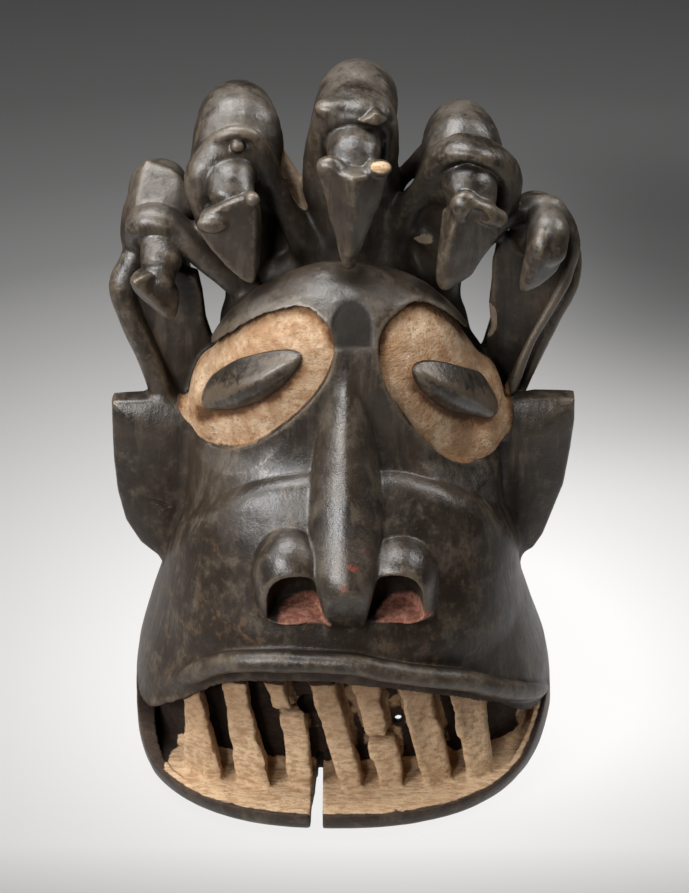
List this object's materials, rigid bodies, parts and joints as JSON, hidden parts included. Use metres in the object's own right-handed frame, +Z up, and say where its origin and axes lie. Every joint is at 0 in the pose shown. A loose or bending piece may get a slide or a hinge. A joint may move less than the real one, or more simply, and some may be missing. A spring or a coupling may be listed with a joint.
{
  "type": "helmet mask",
  "caption": "Carved wooden helmet mask: hollow bell body, grotesque face with barred open mouth and slab ears, and an openwork crown of crouching animals whose heads hang over the brow.",
  "frame": {"origin": "middle of the neck rim's plane, under the middle of the bounding box", "axes": "+Z up through the crown, the face looks along -Y, +X to the viewer's right"},
  "size_m": [0.344, 0.3439, 0.5208],
  "materials": {
    "wood": "satin dark patina, raw wood in the mouth and round the eyes"
  },
  "bodies": {
    "root": {"helmet_mask": "wood"}
  },
  "joints": []
}
